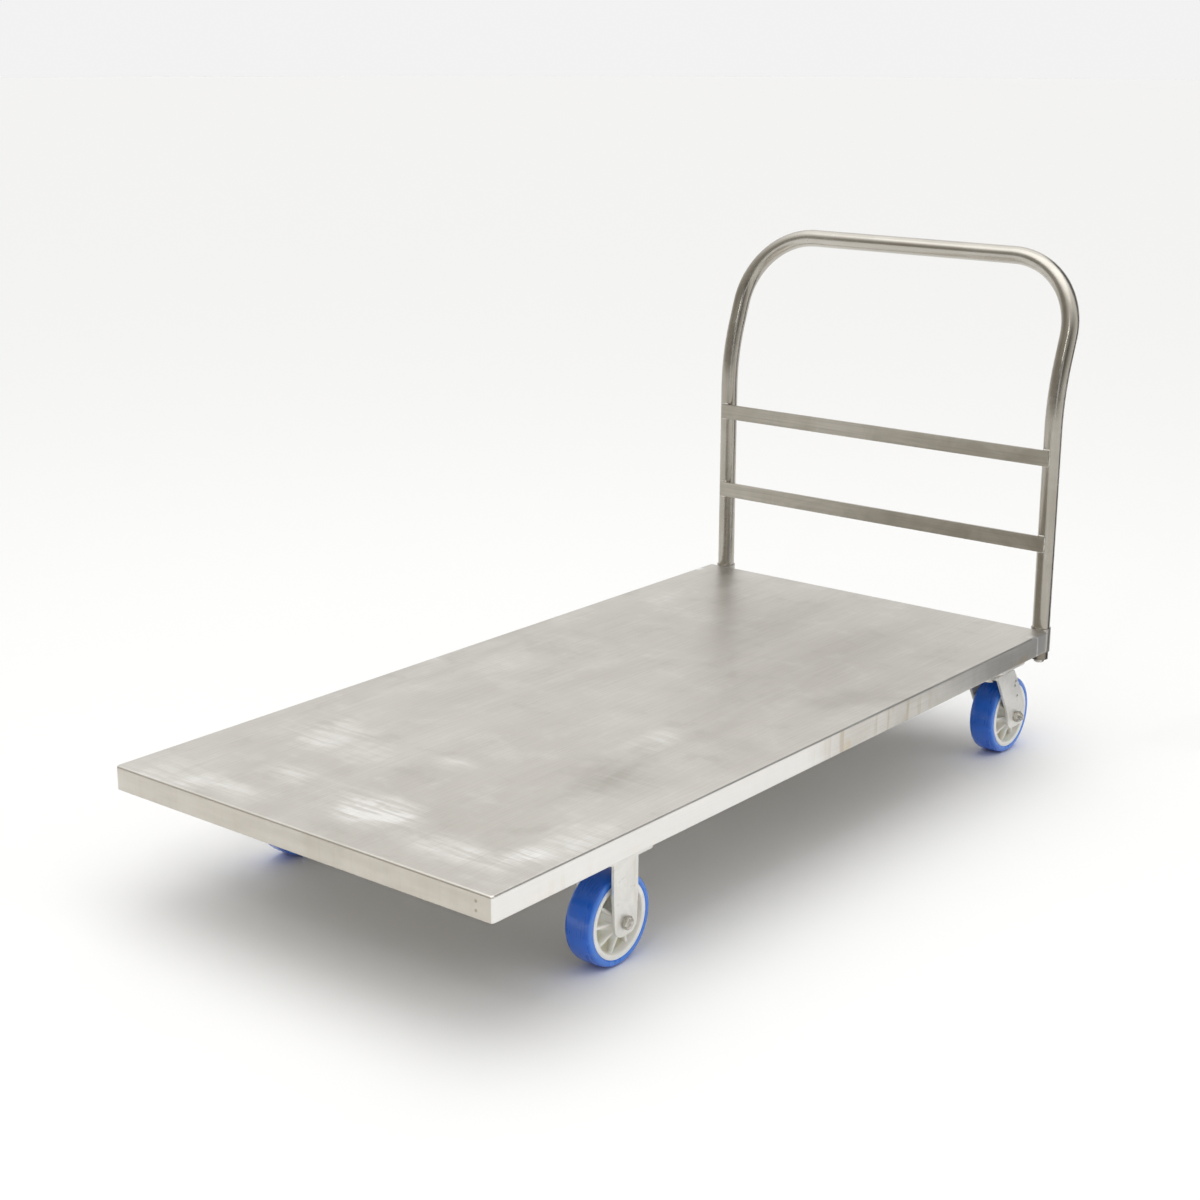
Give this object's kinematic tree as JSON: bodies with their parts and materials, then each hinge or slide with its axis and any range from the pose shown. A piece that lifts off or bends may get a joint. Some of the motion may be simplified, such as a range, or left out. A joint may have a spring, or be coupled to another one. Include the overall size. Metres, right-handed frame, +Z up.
{
  "type": "platform trolley",
  "caption": "Stainless platform trolley with a flat folded deck, a bent tube push handle with flat crossbars, fixed casters at one end and swivel casters at the handle end.",
  "frame": {"origin": "on the floor under the centre of the overall box", "axes": "+X towards the fixed-caster end, +Y to the trolley's left, +Z up; the handle stands at the -X end"},
  "size_m": [1.723, 0.8, 0.9503],
  "materials": {
    "deck_steel": "satin, lightly clouded",
    "handle_steel": "satin tube, drawn lengthwise",
    "caster_steel": "bead blasted",
    "fastener_steel": "satin",
    "bearing_steel": "ground",
    "hub_plastic": "moulded",
    "washer_plastic": "moulded",
    "plug_plastic": "moulded",
    "tread_rubber": "smooth moulded polyurethane"
  },
  "bodies": {
    "frame": {"deck_pan": "deck_steel", "front_channel": "deck_steel", "rigid_caster_channel": "deck_steel", "middle_channel": "deck_steel", "swivel_caster_channel": "deck_steel", "handle_tube": "handle_steel", "upper_crossbar": "handle_steel", "lower_crossbar": "handle_steel", "handle_socket_left": "handle_steel", "handle_plug_left": "plug_plastic", "handle_bolt_left": "fastener_steel", "handle_socket_right": "handle_steel", "handle_plug_right": "plug_plastic", "handle_bolt_right": "fastener_steel", "rigid_bracket_left": "caster_steel", "rigid_plate_fasteners_left": "fastener_steel", "front_axle_bolt_left": "fastener_steel", "front_axle_nut_left": "fastener_steel", "front_axle_sleeve_left": "fastener_steel", "front_axle_washers_left": "washer_plastic", "rigid_bracket_right": "caster_steel", "rigid_plate_fasteners_right": "fastener_steel", "front_axle_bolt_right": "fastener_steel", "front_axle_nut_right": "fastener_steel", "front_axle_sleeve_right": "fastener_steel", "front_axle_washers_right": "washer_plastic", "swivel_plate_left": "caster_steel", "swivel_plate_fasteners_left": "fastener_steel", "kingpin_left": "fastener_steel", "swivel_plate_right": "caster_steel", "swivel_plate_fasteners_right": "fastener_steel", "kingpin_right": "fastener_steel"},
    "swivel_left": {"swivel_fork_left": "caster_steel", "swivel_balls_left": "bearing_steel", "swivel_seal_left": "caster_steel", "rear_axle_bolt_left": "fastener_steel", "rear_axle_nut_left": "fastener_steel", "rear_axle_sleeve_left": "fastener_steel", "rear_axle_washers_left": "washer_plastic"},
    "swivel_right": {"swivel_fork_right": "caster_steel", "swivel_balls_right": "bearing_steel", "swivel_seal_right": "caster_steel", "rear_axle_bolt_right": "fastener_steel", "rear_axle_nut_right": "fastener_steel", "rear_axle_sleeve_right": "fastener_steel", "rear_axle_washers_right": "washer_plastic"},
    "front_wheel_left": {"front_tread_left": "tread_rubber", "front_hub_left": "hub_plastic", "front_bearing_left": "bearing_steel"},
    "front_wheel_right": {"front_tread_right": "tread_rubber", "front_hub_right": "hub_plastic", "front_bearing_right": "bearing_steel"},
    "rear_wheel_left": {"rear_tread_left": "tread_rubber", "rear_hub_left": "hub_plastic", "rear_bearing_left": "bearing_steel"},
    "rear_wheel_right": {"rear_tread_right": "tread_rubber", "rear_hub_right": "hub_plastic", "rear_bearing_right": "bearing_steel"}
  },
  "joints": [
    {"name": "swivel_turn_left", "type": "hinge", "parent": "frame", "child": "swivel_left", "pos_m": [-0.6295, 0.337, 0.176], "axis": [0, 0, 1], "continuous": true},
    {"name": "rear_wheel_spin_left", "type": "hinge", "parent": "swivel_left", "child": "rear_wheel_left", "pos_m": [-0.6775, 0.337, 0.075], "axis": [0, 1, 0], "continuous": true},
    {"name": "front_wheel_spin_left", "type": "hinge", "parent": "frame", "child": "front_wheel_left", "pos_m": [0.5345, 0.337, 0.075], "axis": [0, 1, 0], "continuous": true},
    {"name": "swivel_turn_right", "type": "hinge", "parent": "frame", "child": "swivel_right", "pos_m": [-0.6295, -0.337, 0.176], "axis": [0, 0, 1], "continuous": true},
    {"name": "rear_wheel_spin_right", "type": "hinge", "parent": "swivel_right", "child": "rear_wheel_right", "pos_m": [-0.6775, -0.337, 0.075], "axis": [0, 1, 0], "continuous": true},
    {"name": "front_wheel_spin_right", "type": "hinge", "parent": "frame", "child": "front_wheel_right", "pos_m": [0.5345, -0.337, 0.075], "axis": [0, 1, 0], "continuous": true}
  ]
}
